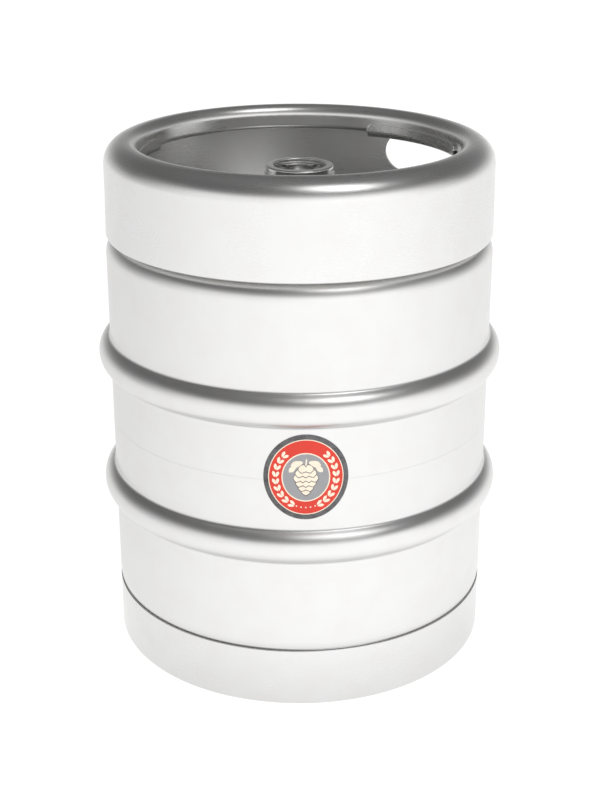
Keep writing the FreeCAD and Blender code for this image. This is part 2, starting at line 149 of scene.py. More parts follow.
def steel(name, base=(0.80, 0.80, 0.79), rough=0.27, brush="ring", brush_amt=0.10, bump=0.05, stain=0.05, scratch=0.25, aniso=0.0, edge=1.0):
    """satin stainless: fine brush lines, cloudy polish, hairline scratches, faint water stain"""
    m, nt, b = mat_new(name)
    tc = nd(nt, "ShaderNodeTexCoord")
    obj = tc.outputs["Object"]
    b.inputs["Metallic"].default_value = 1.0
    b.inputs["Anisotropic"].default_value = aniso
    b.inputs["Specular Tint"].default_value = (edge, edge, edge, 1.0)
    if brush == "ring":          # lines run round the axis on a vertical wall
        lines = noise_tex(nt, obj, 1.0, 4.0, 0.6, (6.0, 6.0, 1500.0))
        lines2 = noise_tex(nt, obj, 1.0, 2.0, 0.5, (14.0, 14.0, 420.0))
    elif brush == "turned":      # concentric lines on a dome or a turned face
        sep = nd(nt, "ShaderNodeSeparateXYZ")
        nt.links.new(obj, sep.inputs[0])
        rr = math_(nt, "SQRT", math_(nt, "ADD", math_(nt, "MULTIPLY", sep.outputs[0], sep.outputs[0]), math_(nt, "MULTIPLY", sep.outputs[1], sep.outputs[1])))
        comb = nd(nt, "ShaderNodeCombineXYZ")
        nt.links.new(rr, comb.inputs[0])
        nt.links.new(sep.outputs[2], comb.inputs[1])
        lines = noise_tex(nt, comb.outputs[0], 1500.0, 3.0, 0.6)
        lines2 = noise_tex(nt, comb.outputs[0], 400.0, 2.0, 0.5)
    else:
        lines = noise_tex(nt, obj, 900.0, 3.0, 0.6)
        lines2 = noise_tex(nt, obj, 260.0, 3.0, 0.5)
    cloud = noise_tex(nt, obj, 9.0, 4.0, 0.55)
    cloud2 = noise_tex(nt, obj, 38.0, 3.0, 0.5)
    # hairline scratches: stretched cells in a turned direction
    mp = nd(nt, "ShaderNodeMapping")
    mp.inputs["Rotation"].default_value = (0.35, 0.5, 0.9)
    mp.inputs["Scale"].default_value = (16.0, 210.0, 16.0)
    nt.links.new(obj, mp.inputs[0])
    vor = nd(nt, "ShaderNodeTexVoronoi", feature="DISTANCE_TO_EDGE")
    vor.inputs["Scale"].default_value = 1.0
    nt.links.new(mp.outputs[0], vor.inputs["Vector"])
    hair = maprange(nt, vor.outputs["Distance"], 0.0, 0.012, 1.0, 0.0)
    gate = maprange(nt, noise_tex(nt, obj, 22.0, 2.0, 0.5), 0.56, 0.66, 0.0, 1.0)
    hair = math_(nt, "MULTIPLY", hair, gate)
    # colour: a faint warm and cool drift with stains
    c = ramp(nt, cloud, [(0.25, tuple(v * (1 - stain) for v in base)), (0.55, base), (0.85, tuple(min(1.0, v * (1 + stain * 0.5)) for v in base))])
    tint = nd(nt, "ShaderNodeMix", data_type="RGBA", blend_type="MULTIPLY")
    tint.inputs[0].default_value = 1.0
    nt.links.new(c, tint.inputs[6])
    nt.links.new(ramp(nt, cloud2, [(0.3, (0.985, 0.975, 0.96)), (0.6, (1.0, 1.0, 1.0))]), tint.inputs[7])
    nt.links.new(tint.outputs[2], b.inputs["Base Color"])
    # roughness
    r = math_(nt, "ADD", maprange(nt, lines, 0.3, 0.7, rough - brush_amt * 0.5, rough + brush_amt * 0.5), maprange(nt, cloud, 0.3, 0.7, -0.03, 0.04))
    r = math_(nt, "ADD", r, math_(nt, "MULTIPLY", hair, scratch * 0.4))
    nt.links.new(r, b.inputs["Roughness"])
    # bump
    hgt = math_(nt, "ADD", math_(nt, "MULTIPLY", lines, 0.55), math_(nt, "MULTIPLY", lines2, 0.45))
    hgt = math_(nt, "SUBTRACT", hgt, math_(nt, "MULTIPLY", hair, scratch))
    bp = nd(nt, "ShaderNodeBump")
    bp.inputs["Strength"].default_value = bump
    bp.inputs["Distance"].default_value = 0.0004
    nt.links.new(hgt, bp.inputs["Height"])
    nt.links.new(bp.outputs[0], b.inputs["Normal"])
    return m


def rubber(name, base=(0.018, 0.018, 0.019)):
    m, nt, b = mat_new(name)
    tc = nd(nt, "ShaderNodeTexCoord")
    obj = tc.outputs["Object"]
    n1 = noise_tex(nt, obj, 700.0, 4.0, 0.6)
    n2 = noise_tex(nt, obj, 60.0, 3.0, 0.5)
    nt.links.new(ramp(nt, n2, [(0.3, tuple(v * 0.8 for v in base)), (0.7, tuple(v * 1.7 for v in base))]), b.inputs["Base Color"])
    nt.links.new(maprange(nt, n1, 0.3, 0.7, 0.42, 0.60), b.inputs["Roughness"])
    bp = nd(nt, "ShaderNodeBump")
    bp.inputs["Strength"].default_value = 0.25
    bp.inputs["Distance"].default_value = 0.0001
    nt.links.new(n1, bp.inputs["Height"])
    nt.links.new(bp.outputs[0], b.inputs["Normal"])
    return m


def ink(name, base, rough=0.34, grain=0.06, speck=None):
    m, nt, b = mat_new(name)
    tc = nd(nt, "ShaderNodeTexCoord")
    obj = tc.outputs["Object"]
    n1 = noise_tex(nt, obj, 1500.0, 2.0, 0.6)
    n2 = noise_tex(nt, obj, 120.0, 3.0, 0.5)
    lo = tuple(max(0.0, v * (1 - grain)) for v in base)
    hi = tuple(min(1.0, v * (1 + grain)) for v in base)
    if speck:
        lo = tuple(v for v in base)
        hi = speck
    mixv = math_(nt, "ADD", math_(nt, "MULTIPLY", n1, 0.6), math_(nt, "MULTIPLY", n2, 0.4))
    nt.links.new(ramp(nt, mixv, [(0.36, lo), (0.64, hi)]), b.inputs["Base Color"])
    nt.links.new(maprange(nt, n2, 0.3, 0.7, rough - 0.05, rough + 0.06), b.inputs["Roughness"])
    bp = nd(nt, "ShaderNodeBump")
    bp.inputs["Strength"].default_value = 0.10
    bp.inputs["Distance"].default_value = 0.00005
    nt.links.new(n1, bp.inputs["Height"])
    nt.links.new(bp.outputs[0], b.inputs["Normal"])
    b.inputs["Specular IOR Level"].default_value = 0.35
    return m


def weld(name):
    """heat-tinted bead: straw and blue drift over a rippled grey"""
    m, nt, b = mat_new(name)
    tc = nd(nt, "ShaderNodeTexCoord")
    obj = tc.outputs["Object"]
    n1 = noise_tex(nt, obj, 55.0, 3.0, 0.5)
    n2 = noise_tex(nt, obj, 900.0, 3.0, 0.6)
    b.inputs["Metallic"].default_value = 1.0
    nt.links.new(ramp(nt, n1, [(0.25, (0.50, 0.46, 0.40)), (0.5, (0.60, 0.58, 0.55)), (0.75, (0.50, 0.51, 0.55))]), b.inputs["Base Color"])
    nt.links.new(maprange(nt, n2, 0.3, 0.7, 0.30, 0.48), b.inputs["Roughness"])
    bp = nd(nt, "ShaderNodeBump")
    bp.inputs["Strength"].default_value = 0.2
    bp.inputs["Distance"].default_value = 0.0002
    nt.links.new(n2, bp.inputs["Height"])
    nt.links.new(bp.outputs[0], b.inputs["Normal"])
    return m


M_WALL = steel("steel_wall", (0.635, 0.635, 0.632), 0.32, "ring", 0.03, 0.008, 0.012, 0.08)
M_CHIME = steel("steel_chime", (0.635, 0.635, 0.632), 0.27, "ring", 0.03, 0.004, 0.012, 0.05)
M_DOME = steel("steel_dome", (0.60, 0.60, 0.595), 0.30, "turned", 0.08, 0.05, 0.03, 0.2)
M_GRIP = steel("steel_grip", (0.62, 0.62, 0.615), 0.26, "plain", 0.08, 0.05, 0.03, 0.3)
M_TURNED = steel("steel_turned", (0.64, 0.64, 0.635), 0.20, "turned", 0.10, 0.08, 0.03, 0.2)
M_PRESSED = steel("steel_pressed", (0.74, 0.74, 0.73), 0.32, "plain", 0.08, 0.05, 0.05, 0.2)
M_WIRE = steel("steel_wire", (0.70, 0.70, 0.69), 0.24, "plain", 0.08, 0.06, 0.04, 0.2)
M_BALL = steel("steel_ball", (0.82, 0.82, 0.82), 0.10, "plain", 0.03, 0.01, 0.02, 0.2)
M_TUBE = steel("steel_tube", (0.76, 0.76, 0.75), 0.26, "ring", 0.08, 0.05, 0.04, 0.3)
M_WELD = weld("weld_bead")
M_RUBBER = rubber("seal_rubber")
M_RED = ink("label_red", (0.66, 0.040, 0.022), 0.5)
M_CREAM = ink("label_cream", (0.85, 0.74, 0.60))
M_CHAR = ink("label_charcoal", (0.035, 0.034, 0.036), 0.42, 0.1, (0.16, 0.155, 0.16))
M_GREY = ink("label_grey", (0.30, 0.30, 0.31))


# ------------------------------------------------------------------ profile tools (mm)
class Path:
    def __init__(self, r, z):
        self.p = (r, z)
        self.seg = []

    def line(self, r, z):
        if math.hypot(r - self.p[0], z - self.p[1]) > 1e-7:
            self.seg.append(("L", self.p, (r, z)))
            self.p = (r, z)
        return self

    def arc(self, c, rad, a0, a1):
        e = (c[0] + rad * math.cos(math.radians(a1)), c[1] + rad * math.sin(math.radians(a1)))
        self.seg.append(("A", c, rad, a0, a1))
        self.p = e
        return self

    def offset(self, t, side):
        q = []
        for s in self.seg:
            if s[0] == "L":
                (r0, z0), (r1, z1) = s[1], s[2]
                d = math.hypot(r1 - r0, z1 - z0)
                nr, nz = -(z1 - z0) / d * side, (r1 - r0) / d * side
                q.append(("L", (r0 + nr * t, z0 + nz * t), (r1 + nr * t, z1 + nz * t)))
            else:
                _, c, rad, a0, a1 = s
                q.append(("A", c, rad - t * side if a1 > a0 else rad + t * side, a0, a1))
        return q


def sample(segs, step=6.0, arc_deg=6.0, marks=()):
    """points along a chain; marks are extra z values kept on straight lines"""
    pts = []
    for s in segs:
        if s[0] == "L":
            (r0, z0), (r1, z1) = s[1], s[2]
            d = math.hypot(r1 - r0, z1 - z0)
            n = max(1, int(math.ceil(d / step)))
            ts = {i / n for i in range(n + 1)}
            if d > 3.0:
                ts |= {0.5 / d, 1 - 0.5 / d}
            for zm in marks:
                if abs(z1 - z0) > 1e-6:
                    u = (zm - z0) / (z1 - z0)
                    if 0 < u < 1:
                        ts.add(u)
            ts = sorted(ts)
            out = [ts[0]]
            for u in ts[1:]:
                if (u - out[-1]) * d > 0.05:
                    out.append(u)
                elif abs(u - 1) < 1e-9:
                    out[-1] = u
            pts += [(r0 + (r1 - r0) * u, z0 + (z1 - z0) * u) for u in out]
        else:
            _, c, rad, a0, a1 = s
            n = max(3, int(math.ceil(abs(a1 - a0) / arc_deg)), int(math.ceil(abs(a1 - a0) * math.pi / 180 * abs(rad) / step)))
            pts += [(c[0] + rad * math.cos(math.radians(a0 + (a1 - a0) * i / n)), c[1] + rad * math.sin(math.radians(a0 + (a1 - a0) * i / n))) for i in range(n + 1)]
    out = [pts[0]]
    for p in pts[1:]:
        if math.hypot(p[0] - out[-1][0], p[1] - out[-1][1]) > 1e-4:
            out.append(p)
    return out


def round_poly(pts, rad, n=4):
    """closed polygon with rounded corners"""
    out = []
    m = len(pts)
    for i in range(m):
        p0, p1, p2 = Vector(pts[i - 1]).to_2d(), Vector(pts[i]).to_2d(), Vector(pts[(i + 1) % m]).to_2d()
        a, b = (p0 - p1), (p2 - p1)
        la, lb = a.length, b.length
        a.normalize()
        b.normalize()
        ang = math.acos(max(-1, min(1, a.dot(b))))
        if ang > math.radians(178):
            out.append(tuple(p1))
            continue
        rr = rad[i] if isinstance(rad, (list, tuple)) else rad
        d = min(rr / math.tan(ang / 2), la * 0.45, lb * 0.45)
        if d < 1e-6:
            out.append(tuple(p1))
            continue
        for k in range(n + 1):
            u = k / n
            q = (p1 + a * d) * (1 - u) ** 2 + p1 * 2 * u * (1 - u) + (p1 + b * d) * u ** 2
            out.append(tuple(q))
    return out


def support(pts, far=2.0, near=0.25, step=6.0):
    """adds points near the ends of long straight runs of a closed loop"""
    out = []
    m = len(pts)
    for i in range(m):
        a, b = Vector(pts[i]), Vector(pts[(i + 1) % m])
        out.append(tuple(a))
        d = (b - a).length
        if d > far:
            n = max(1, int(d / step))
            us = sorted({near / d, 1 - near / d} | {k / n for k in range(1, n)})
            out += [tuple(a.lerp(b, u)) for u in us]
    return out


def sheet_loop(path, t, side, step=6.0, arc_deg=6.0, marks=(), edge=0.4):
    outer = sample(path.seg, step, arc_deg, marks)
    inner = sample(path.offset(t, side), step, arc_deg, marks)[::-1]

    def cap(a, b, aprev, bnext):
        """rounded end of the sheet from a to b"""
        a, b, ap, bn = Vector(a), Vector(b), Vector(aprev), Vector(bnext)
        ua, ub = (ap - a).normalized(), (bn - b).normalized()
        e = min(edge, (b - a).length * 0.45)
        ax = (b - a).normalized()
        res = []
        for k in range(5):
            u = k / 4
            q = (a + ua * e) * (1 - u) ** 2 + a * 2 * u * (1 - u) + (a + ax * e) * u ** 2
            res.append(tuple(q))
        for k in range(5):
            u = k / 4
            q = (b - ax * e) * (1 - u) ** 2 + b * 2 * u * (1 - u) + (b + ub * e) * u ** 2
            res.append(tuple(q))
        return res
    end = cap(outer[-1], inner[0], outer[-2], inner[1])
    start = cap(inner[-1], outer[0], inner[-2], outer[1])
    return outer[1:-1] + end + inner[1:-1] + start


def finish_mesh(bm, name, mats, angle=35.0, slot=None, body="keg", node=None, merge=0.0):
    if merge:
        bmesh.ops.remove_doubles(bm, verts=bm.verts, dist=merge)
    bmesh.ops.recalc_face_normals(bm, faces=bm.faces)
    me = bpy.data.meshes.new(name)
    bm.to_mesh(me)
    bm.free()
    me.polygons.foreach_set("use_smooth", [True] * len(me.polygons))
    me.set_sharp_from_angle(angle=math.radians(angle))
    ob = bpy.data.objects.new(name, me)
    COL.objects.link(ob)
    for m in (mats if isinstance(mats, (list, tuple)) else [mats]):
        me.materials.append(m)
    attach(ob, body)
    if node:
        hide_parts(*([node] if isinstance(node, str) else node))
    return ob


def lathe_bm(loop, segs=360, closed=True, ripple=None, a0=0.0, a1=360.0):
    """revolves a loop of (r, z) in mm; a point with r under 0.001 is a pole"""
    bm = bmesh.new()
    full = abs(a1 - a0 - 360.0) < 1e-9
    n = segs if full else segs + 1
    rows = []
    for j, (r, z) in enumerate(loop):
        if r < 1e-3:
            v = bm.verts.new((0, 0, z * MM))
            rows.append([v] * n)
            continue
        row = []
        for i in range(n):
            a = math.radians(a0 + (a1 - a0) * i / segs)
            rr, zz = (r, z) if ripple is None else ripple(a, r, z, j)
            row.append(bm.verts.new((rr * MM * math.cos(a), rr * MM * math.sin(a), zz * MM)))
        rows.append(row)
    m = len(rows)
    for j in range(m if closed else m - 1):
        A, B = rows[j], rows[(j + 1) % m]
        for i in range(segs):
            k = (i + 1) % n if full else i + 1
            q = [A[i], A[k], B[k], B[i]]
            u = []
            for v in q:
                if v not in u:
                    u.append(v)
            if len(u) >= 3:
                bm.faces.new(u)
    if not full and closed:
        bm.faces.new([r[0] for r in rows])
        bm.faces.new([r[-1] for r in rows][::-1])
    return bm


def lathe(name, loop, mats, segs=360, **kw):
    ripple = kw.pop("ripple", None)
    a0, a1 = kw.pop("a0", 0.0), kw.pop("a1", 360.0)
    return finish_mesh(lathe_bm(loop, segs, True, ripple, a0, a1), name, mats, **kw)


# ------------------------------------------------------------------ vessel halves
hc = BR + HOOP_H - HOOP_CR
hdr = (BR + HOOP_F) - hc
hdz = math.sqrt((HOOP_CR + HOOP_F) ** 2 - hdr ** 2)
ha = math.degrees(math.atan2(hdz, hdr))

wall_ri = TR_LOW - CT
t_start = T_START
h = CROWN_T - t_start
kc = BR - KT
R_T = (kc ** 2 + h ** 2 - KT ** 2) / (2 * (h - KT))
C_T = CROWN_T - R_T
k_ang = math.degrees(math.atan2(t_start - C_T, kc))
f_r = COLLAR_R + COLLAR_F
f_z = C_T + math.sqrt((R_T + COLLAR_F) ** 2 - f_r ** 2)
f_ang = math.degrees(math.atan2(f_z - C_T, f_r))

up = Path(BR, MID)
zc = HOOPS[1]
up.line(BR, zc - hdz).arc((BR + HOOP_F, zc - hdz), HOOP_F, 180, 180 - ha).arc((hc, zc), HOOP_CR, -ha, ha).arc((BR + HOOP_F, zc + hdz), HOOP_F, 180 + ha, 180)
up.line(BR, t_start).arc((kc, t_start), KT, 0, k_ang).arc((0, C_T), R_T, k_ang, f_ang)
up.arc((f_r, f_z), COLLAR_F, f_ang - 180, -180).line(COLLAR_R, COLLAR_Z)


def handled(a, r, z, j, seed=0.0):
    """very slight waviness of a used wall"""
    if not 72.0 < z < 420.0 or r < 188.0:
        return r, z
    w = noise.noise(Vector((math.cos(a) * 2.6 + seed, math.sin(a) * 2.6, z * 0.011)))
    fade = min(1.0, (z - 72.0) / 14.0, (420.0 - z) / 14.0, abs(z - MID) / 8.0)
    return r - 0.13 * (0.5 + 0.5 * w) * max(0.0, fade), z


lathe("upper_shell_wall", sheet_loop(up, ST, +1, 5.0, 4.0, edge=0.2), [M_WALL], 384, node="upper_shell", ripple=lambda a, r, z, j: handled(a, r, z, j, 3.1), angle=40)

k = KB
l_start = SEAM_B + math.sqrt(k ** 2 - (k - CT) ** 2)
h = l_start - CROWN_B
kc2 = BR - k
R_B = (kc2 ** 2 + h ** 2 - k ** 2) / (2 * (h - k))
C_B = CROWN_B + R_B
k2 = math.degrees(math.atan2(l_start - C_B, kc2))
sf, sr = 6.0, 5.0
sf_r = SUMP_R + sf
sf_z = C_B - math.sqrt((R_B + sf) ** 2 - sf_r ** 2)
g = math.degrees(math.atan2(sf_z - C_B, sf_r))
dzc = sf_z - (SUMP_Z + sr)
sc_r = sf_r - math.sqrt(max((sf + sr) ** 2 - dzc ** 2, 0.0))
m_ = math.degrees(math.atan2((SUMP_Z + sr) - sf_z, sc_r - sf_r))
m_ = m_ + 360 if m_ < 0 else m_

lo = Path(BR, MID)
zc = HOOPS[0]
lo.line(BR, zc + hdz).arc((BR + HOOP_F, zc + hdz), HOOP_F, 180, 180 + ha).arc((hc, zc), HOOP_CR, ha, -ha).arc((BR + HOOP_F, zc - hdz), HOOP_F, 180 - ha, 180)
lo.line(BR, l_start).arc((kc2, l_start), k, 0, k2).arc((0, C_B), R_B, k2, g)
lo.arc((sf_r, sf_z), sf, g + 180, m_).arc((sc_r, SUMP_Z + sr), sr, m_ - 180, -90).line(0.0, SUMP_Z)
lo_out = sample(lo.seg, 5.0, 4.0)
lo_in = sample(lo.offset(ST, -1), 5.0, 4.0)[::-1]
lathe("lower_shell_wall", lo_out + lo_in, [M_WALL], 384, node="lower_shell", ripple=lambda a, r, z, j: handled(a, r, z, j, 7.7), angle=40)


# ------------------------------------------------------------------ weld beads with ripples
def bead(name, loop, node, pitch=2.2, amp=0.14, segs=900):
    cr = sum(p[0] for p in loop) / len(loop)
    cz = sum(p[1] for p in loop) / len(loop)

    def rip(a, r, z, j):
        d = math.hypot(r - cr, z - cz)
        s = a * cr / pitch * 2 * math.pi + 0.9 * d
        k_ = 1.0 - amp * (0.5 + 0.5 * math.sin(s)) * 0.5 - 0.05 * (1 + noise.noise(Vector((math.cos(a) * 9, math.sin(a) * 9, 0))))
        return cr + (r - cr) * k_, cz + (z - cz) * k_
    return lathe(name, loop, [M_WELD], segs, node=node, ripple=rip, angle=60)


cwr = (2.6 ** 2 + 0.7 ** 2) / (2 * 0.7)
ca = math.degrees(math.asin(2.6 / cwr))
cwp = Path(BR - ST, MID - 2.6).line(BR - ST, MID + 2.6).arc((BR - ST - 0.7 + cwr, MID), cwr, 180 - ca, 180 + ca)
bead("centre_weld_bead", sample(cwp.seg, 1.0, 6)[:-1], "centre_weld", segs=720)

lean = math.degrees(math.atan2(TR_LOW - TR_HIGH, H - RIM_O - SEAM_T))
slope = math.tan(math.radians(lean))
crest0 = TR_HIGH - RIM_O
wall_top = H - RIM_O
tx = crest0 + RIM_O * math.cos(math.radians(lean))
tz = wall_top + RIM_O * math.sin(math.radians(lean))
r_low = tx + (tz - SEAM_T) * slope
wi = r_low - CT / math.cos(math.radians(lean))


def shoulder(r):
    if r > kc + KT * math.cos(math.radians(k_ang)):
        return t_start + math.sqrt(KT ** 2 - (r - kc) ** 2)
    return C_T + math.sqrt(R_T ** 2 - r ** 2)


def heel(r):
    return l_start - math.sqrt(KB ** 2 - (r - kc2) ** 2)


wr = FLANGE_R - 0.02
pts = [(wr, SEAM_T + CT + 0.9)] + [(wr - 0.8 * (8 - i), shoulder(wr - 0.8 * (8 - i)) + 0.03) for i in range(9)]
bead("upper_chime_bead", pts, "upper_chime_weld")
wi2 = BR - CT
pts = [(wi2 - 0.02, SEAM_B - 4.4)] + [(wi2 - 0.05 - i * 0.42, heel(wi2 - 0.05 - i * 0.42) - 0.02) for i in range(9)]
mid_ = ((pts[0][0] + pts[-1][0]) / 2 - 0.2, (pts[0][1] + pts[-1][1]) / 2 - 0.05)
bead("lower_chime_bead", pts + [mid_], "lower_chime_weld")
nw = COLLAR_R - ST - 0.03
bead("neck_bead", round_poly([(nw, COLLAR_Z + 0.02), (COLLAR_R - 0.1, COLLAR_Z + 0.02), (COLLAR_R - 0.25, COLLAR_Z + 0.9), (COLLAR_R - 0.7, COLLAR_Z + 1.6), (nw, COLLAR_Z + 2.1)], 0.25, 3), "neck_weld", pitch=1.6, amp=0.2, segs=480)


# ------------------------------------------------------------------ top chime with hand holes
PZ0, PZ1 = 453.0, 507.5
NZ = 28
marks = [PZ0 + (PZ1 - PZ0) * i / NZ for i in range(NZ + 1)]
tc_ = Path(r_low, SEAM_T + 4).line(tx, tz).arc((crest0, wall_top), RIM_O, lean, 90).line(LIP_R + RIM_I, H)
tc_.arc((LIP_R + RIM_I, H - RIM_I), RIM_I, 90, 180).line(LIP_R, LIP_Z + HEM).arc((LIP_R + HEM, LIP_Z + HEM), HEM, 180, 270)


def line_at(z, depth):
    """radius of the leaning wall at height z, at that depth under its outer face"""
    return tx + (tz - z) * slope - depth / math.cos(math.radians(lean))


bend_z = SEAM_T + BEND_R
bend_c = line_at(bend_z + BEND_R * math.sin(math.radians(lean)), 0) - BEND_R * math.cos(math.radians(lean))


def bend(rad):
    """the flange's bend, from the flat to the wall"""
    out = []
    for i in range(13):
        a = math.radians(-90 + (90 + lean) * i / 12)
        out.append((bend_c + rad * math.cos(a), bend_z + rad * math.sin(a)))
    return out


flat = [FLANGE_R + 0.35, FLANGE_R + 1.5, FLANGE_R + 4.0, bend_c - 1.5]
outer = [(r, SEAM_T) for r in flat] + bend(BEND_R) + [(line_at(z, 0), z) for z in [SEAM_T + 5.5, SEAM_T + 8] + marks + [PZ1 + 1.0]]
arcs = sample(tc_.seg[1:], 3.0, 4.0)
inner_arcs = sample(tc_.offset(CT, +1)[1:], 3.0, 4.0)[::-1]
inner = [(line_at(z, CT), z) for z in [PZ1 + 1.0] + marks[::-1] + [SEAM_T + 8, SEAM_T + 5.5]] + bend(BEND_R - CT)[::-1] + [(r, SEAM_T + CT) for r in flat[::-1]]
hem_a, hem_b = arcs[-1], inner_arcs[0]
hem = [(hem_a[0] + 0.9 * math.sin(math.radians(180 * i / 8)), (hem_a[1] + hem_b[1]) / 2 - abs(hem_a[1] - hem_b[1]) / 2 * math.cos(math.radians(180 * i / 8))) for i in range(1, 8)]
foot = [(FLANGE_R + 0.1, SEAM_T + CT - 0.1), (FLANGE_R, SEAM_T + CT - 0.4), (FLANGE_R, SEAM_T + 0.4), (FLANGE_R + 0.1, SEAM_T + 0.1)]
loop = outer + arcs + hem + inner_arcs + inner + foot
SEG = 360
io = [i for i, p in enumerate(loop) if i < len(outer) and PZ0 - 1e-6 <= p[1] <= PZ1 + 1e-6]
base_in = len(outer) + len(arcs) + len(hem) + len(inner_arcs)
ii = [i for i, p in enumerate(loop) if base_in <= i < base_in + len(inner) and PZ0 - 1e-6 <= p[1] <= PZ1 + 1e-6]

bm = bmesh.new()
grid = [[bm.verts.new((r * MM * math.cos(math.radians(a)), r * MM * math.sin(math.radians(a)), z * MM)) for a in range(SEG)] for r, z in loop]
patches = []
for ang, hw, pw in zip(HOLES, HOLE_WS, PATCH):
    tc0 = 90.0 - ang
    c = int(round(tc0))
    patches.append((tc0, c - pw, c + pw, hw, pw))


def in_patch(j, i):
    if (j in io and j + 1 in io) or (j in ii and j + 1 in ii):
        for _, a0, a1, _w, _p in patches:
            if a0 <= i < a1:
                return True
            if a0 <= i - SEG < a1 or a0 <= i + SEG < a1:
                return True
    return False


nl = len(loop)
for j in range(nl):
    for i in range(SEG):
        if in_patch(j, i):
            continue
        j2, i2 = (j + 1) % nl, (i + 1) % SEG
        bm.faces.new([grid[j][i], grid[j][i2], grid[j2][i2], grid[j2][i]])


def obround_hit(dx, dz, extra, width):
    """where a ray from the centre meets the obround grown by extra"""
    kk = HOLE_H / 2 + extra
    s = width / 2 - HOLE_H / 2
    lo_, hi_ = 0.0, 200.0
    for _ in range(50):
        mid = (lo_ + hi_) / 2
        x, z = dx * mid, dz * mid
        d = math.hypot(max(abs(x) - s, 0.0), z) - kk
        if d > 0:
            hi_ = mid
        else:
            lo_ = mid
    return dx * lo_, dz * lo_


for tc0, a0, a1, hw, pw in patches:
    def border(js):
        """grid vertices round the patch, and their chord and height from the hole's centre"""
        seq = [(js[0], a) for a in range(a0, a1)] + [(j, a1) for j in js[:-1]] + [(js[-1], a) for a in range(a1, a0, -1)] + [(j, a0) for j in js[:0:-1]]
        return seq
    seq_o = border(io)                       # z rises with the index
    seq_i = border(ii[::-1])                 # turned round so that z rises
    rings_all = []
    rays = []
    for j, a in seq_o:
        r, z = loop[j]
        s = r * math.sin(math.radians(a - tc0))
        dz = z - HOLE_Z
        # rays spread by the border's own proportions, so the long sides stay even
        sx = s * (hw / 2) / (r * math.sin(math.radians(pw)))
        sz = dz * (HOLE_H / 2) / ((PZ1 - PZ0) / 2)
        L = math.hypot(sx, sz)
        rays.append((sx / L, sz / L))
    e = 0.7

    def put(s, z, depth):
        r = line_at(z, depth)
        a = math.radians(tc0) + math.asin(s / line_at(z, 0))
        return bm.verts.new((r * MM * math.cos(a), r * MM * math.sin(a), z * MM))

    def hole_ring(extra, depth):
        out = []
        for dx, dz in rays:
            x, z = obround_hit(dx, dz, extra, hw)
            out.append(put(x, z + HOLE_Z, depth))
        return out

    def between(seq, depth, us):
        res = []
        for u in us:
            ring = []
            for (j, a), (dx, dz) in zip(seq, rays):
                r, z = loop[j]
                s0 = line_at(z, 0) * math.sin(math.radians(a - tc0))
                x, z1 = obround_hit(dx, dz, e, hw)
                ring.append(put(s0 + (x - s0) * u, z + (z1 + HOLE_Z - z) * u, depth))
            res.append(ring)
        return res
    US = [0.2, 0.4, 0.58, 0.73, 0.85, 0.93, 0.975]
    rings = [[grid[j][a % SEG] for j, a in seq_o]]
    rings += between(seq_o, 0.0, US)
    for q in range(5):
        w = math.radians(90 * q / 4)
        rings.append(hole_ring(e * (1 - math.sin(w)), e * (1 - math.cos(w))))
    for q in range(5):
        w = math.radians(90 * q / 4)
        rings.append(hole_ring(e * (1 - math.cos(w)), CT - e * (1 - math.sin(w))))
    rings += between(seq_i, CT, US)[::-1]
    rings.append([grid[j][a % SEG] for j, a in seq_i])
    for A, B in zip(rings, rings[1:]):
        for q in range(len(A)):
            q2 = (q + 1) % len(A)
            bm.faces.new([A[q], A[q2], B[q2], B[q]])
bmesh.ops.delete(bm, geom=[v for v in bm.verts if not v.link_faces], context="VERTS")
finish_mesh(bm, "top_chime", [M_CHIME], node="upper_chime", angle=50)


# ------------------------------------------------------------------ hand grips
def grip(name, ang, half_deg, node):
    """folded strip: inner leg up the lip, bend, leg out to the wall"""
    c = math.radians(90.0 - ang)
    mid = Path(LIP_R - GRIP_T / 2, GRIP_TOP).line(LIP_R - GRIP_T / 2, GRIP_LOW + GRIP_BEND)
    mid.arc((LIP_R - GRIP_T + GRIP_BEND, GRIP_LOW + GRIP_BEND), GRIP_BEND - GRIP_T / 2, 180, 270)
    mid.line(line_at(GRIP_LOW + GRIP_T, CT) - 0.35, GRIP_LOW + GRIP_T / 2)
    pts = sample(mid.seg, 1.2, 8.0)
    # length along the strip
    ls = [0.0]
    for p, q in zip(pts, pts[1:]):
        ls.append(ls[-1] + math.hypot(q[0] - p[0], q[1] - p[1]))
    bm = bmesh.new()
    n = 72
    half = math.radians(half_deg)
    rc = 6.0
    rows = []
    for (r, z), l in zip(pts, ls):
        inset = 0.0
        if l < rc:
            inset = rc - math.sqrt(max(rc ** 2 - (rc - l) ** 2, 0.0))
        lim = half - inset / r
        row = []
        for i in range(n + 1):
            u = -1 + 2 * i / n
            u = math.copysign(abs(u) ** 0.97, u)
            a = c + u * lim
            row.append(bm.verts.new((r * MM * math.cos(a), r * MM * math.sin(a), z * MM)))
        rows.append(row)
    for A, B in zip(rows, rows[1:]):
        for i in range(n):
            bm.faces.new([A[i], A[i + 1], B[i + 1], B[i]])
    ob = finish_mesh(bm, name, [M_GRIP], node=node, angle=60, body="keg")
    so = ob.modifiers.new("sheet", "SOLIDIFY")
    so.thickness = GRIP_T * MM
    so.offset = 0.0
    so.use_even_offset = True
    bv = ob.modifiers.new("edge", "BEVEL")
    bv.width = 0.5 * MM
    bv.segments = 3
    bv.limit_method = "ANGLE"
    bv.angle_limit = math.radians(50)
    return ob


grip("grip_right", HOLES[0], GRIP_HALFS[0], "hand_grip_right")
grip("grip_left", HOLES[1], GRIP_HALFS[1], "hand_grip_left")

